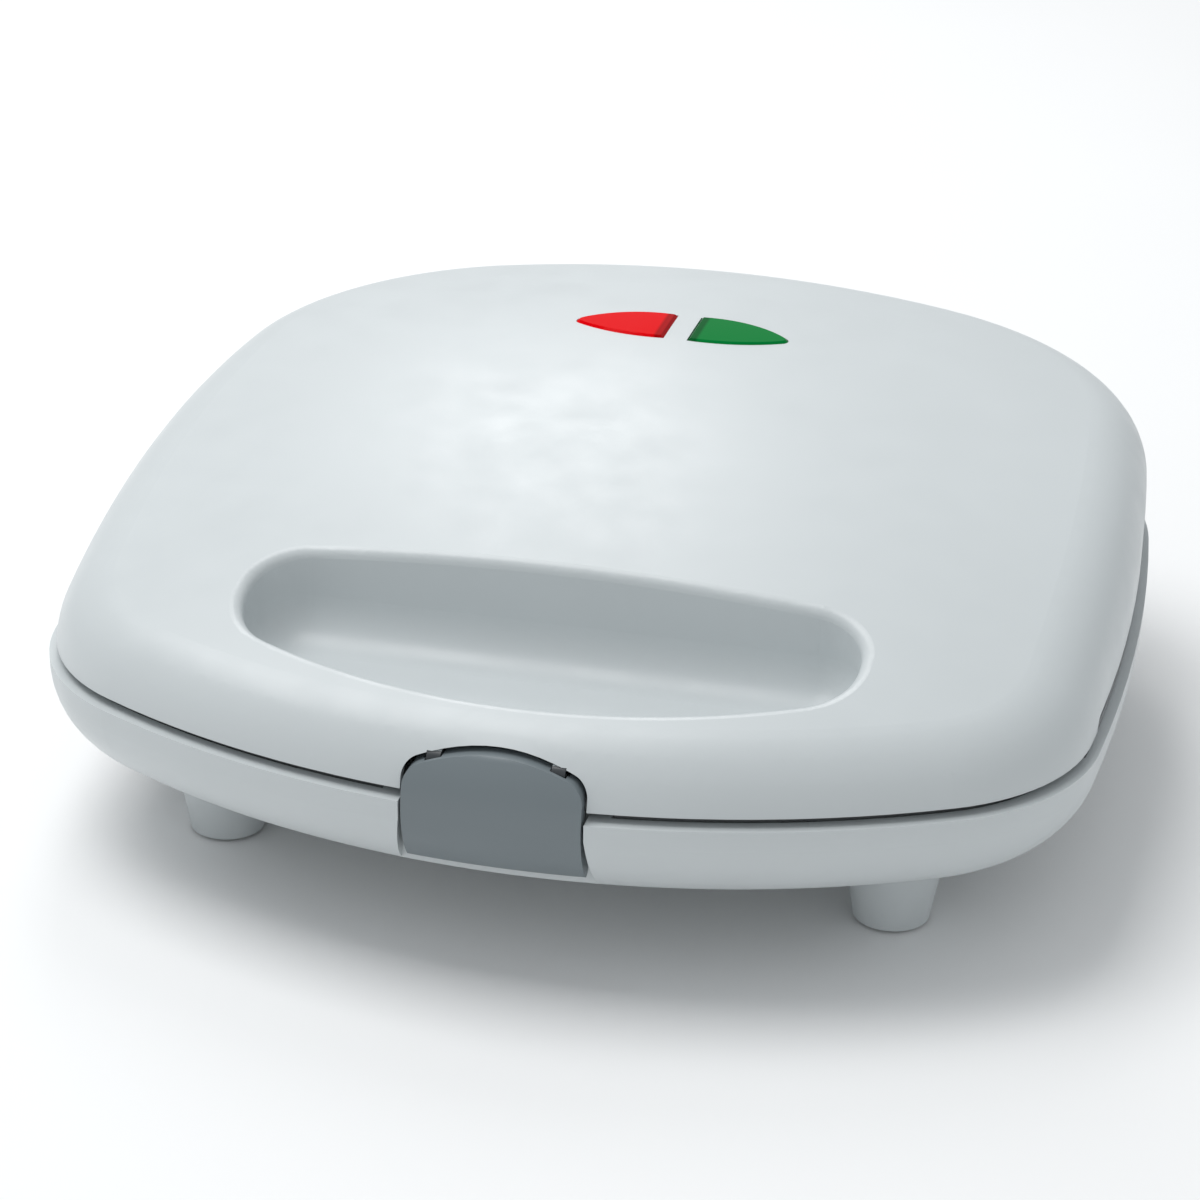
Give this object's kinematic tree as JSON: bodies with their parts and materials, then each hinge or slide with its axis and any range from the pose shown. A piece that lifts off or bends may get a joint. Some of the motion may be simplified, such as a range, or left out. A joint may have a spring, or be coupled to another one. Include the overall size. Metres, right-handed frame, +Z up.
{
  "type": "donut maker",
  "caption": "Table-top donut maker: base on tapered feet, domed lid with finger recess and two indicator lenses, rear hinge, front latch, ring-mould plates.",
  "frame": {"origin": "on the table under the middle of the overall width and depth, lid closed", "axes": "+Z up, -Y towards the user's side with the latch, +X to the user's right"},
  "size_m": [0.244, 0.253, 0.086],
  "materials": {
    "white_housing": "satin",
    "grey_frame": "matt",
    "non_stick_plate": "non-stick coated",
    "heater_steel": "heat-tinted",
    "reflector_sheet": "rolled",
    "zinc_screw": "zinc plated",
    "pin_steel": "ground",
    "gland_plastic": "satin",
    "thermostat_steel": "plain",
    "fuse_sleeve": "woven glass fibre",
    "terminal_nylon": "matt",
    "wire_insulation": "silicone",
    "lead_sleeve": "woven glass fibre",
    "red_lens": "clear coloured",
    "green_lens": "clear coloured",
    "lamp_glass": "clear",
    "bracket_nylon": "matt",
    "pad_rubber": "matt",
    "grey_latch": "satin"
  },
  "bodies": {
    "base": {"lower_shell": "white_housing", "lower_inner_frame": "grey_frame", "lower_plate": "non_stick_plate", "lower_heating_element": "heater_steel", "lower_reflector": "reflector_sheet", "lower_plate_screws": "zinc_screw", "foot_pad_front_left": "pad_rubber", "foot_pad_front_right": "pad_rubber", "foot_pad_rear_left": "pad_rubber", "foot_pad_rear_right": "pad_rubber", "base_screws": "zinc_screw", "hinge_pin_left": "pin_steel", "hinge_pin_right": "pin_steel", "cord_gland": "gland_plastic", "thermostat": "thermostat_steel", "thermal_fuse": "fuse_sleeve", "terminal_block": "terminal_nylon", "base_wiring": "wire_insulation", "base_lead_sleeve": "lead_sleeve"},
    "lid": {"upper_shell": "white_housing", "upper_inner_frame": "grey_frame", "upper_plate": "non_stick_plate", "upper_heating_element": "heater_steel", "upper_reflector": "reflector_sheet", "upper_plate_screws": "zinc_screw", "lid_screws": "zinc_screw", "red_lens": "red_lens", "green_lens": "green_lens", "red_lamp": "lamp_glass", "green_lamp": "lamp_glass", "lamp_bracket": "bracket_nylon", "lamp_bracket_screws": "zinc_screw", "latch_pin": "pin_steel", "lid_wiring": "wire_insulation", "lid_lead_sleeve": "lead_sleeve"},
    "latch": {"latch": "grey_latch"}
  },
  "joints": [
    {"name": "lid_hinge", "type": "hinge", "parent": "base", "child": "lid", "pos_m": [0, 0.1215, 0.044], "axis": [-1, 0, 0], "range_deg": [0, 100]},
    {"name": "latch_pivot", "type": "hinge", "parent": "lid", "child": "latch", "pos_m": [0, -0.1193, 0.0511], "axis": [-1, 0, 0], "range_deg": [0, 35]}
  ]
}
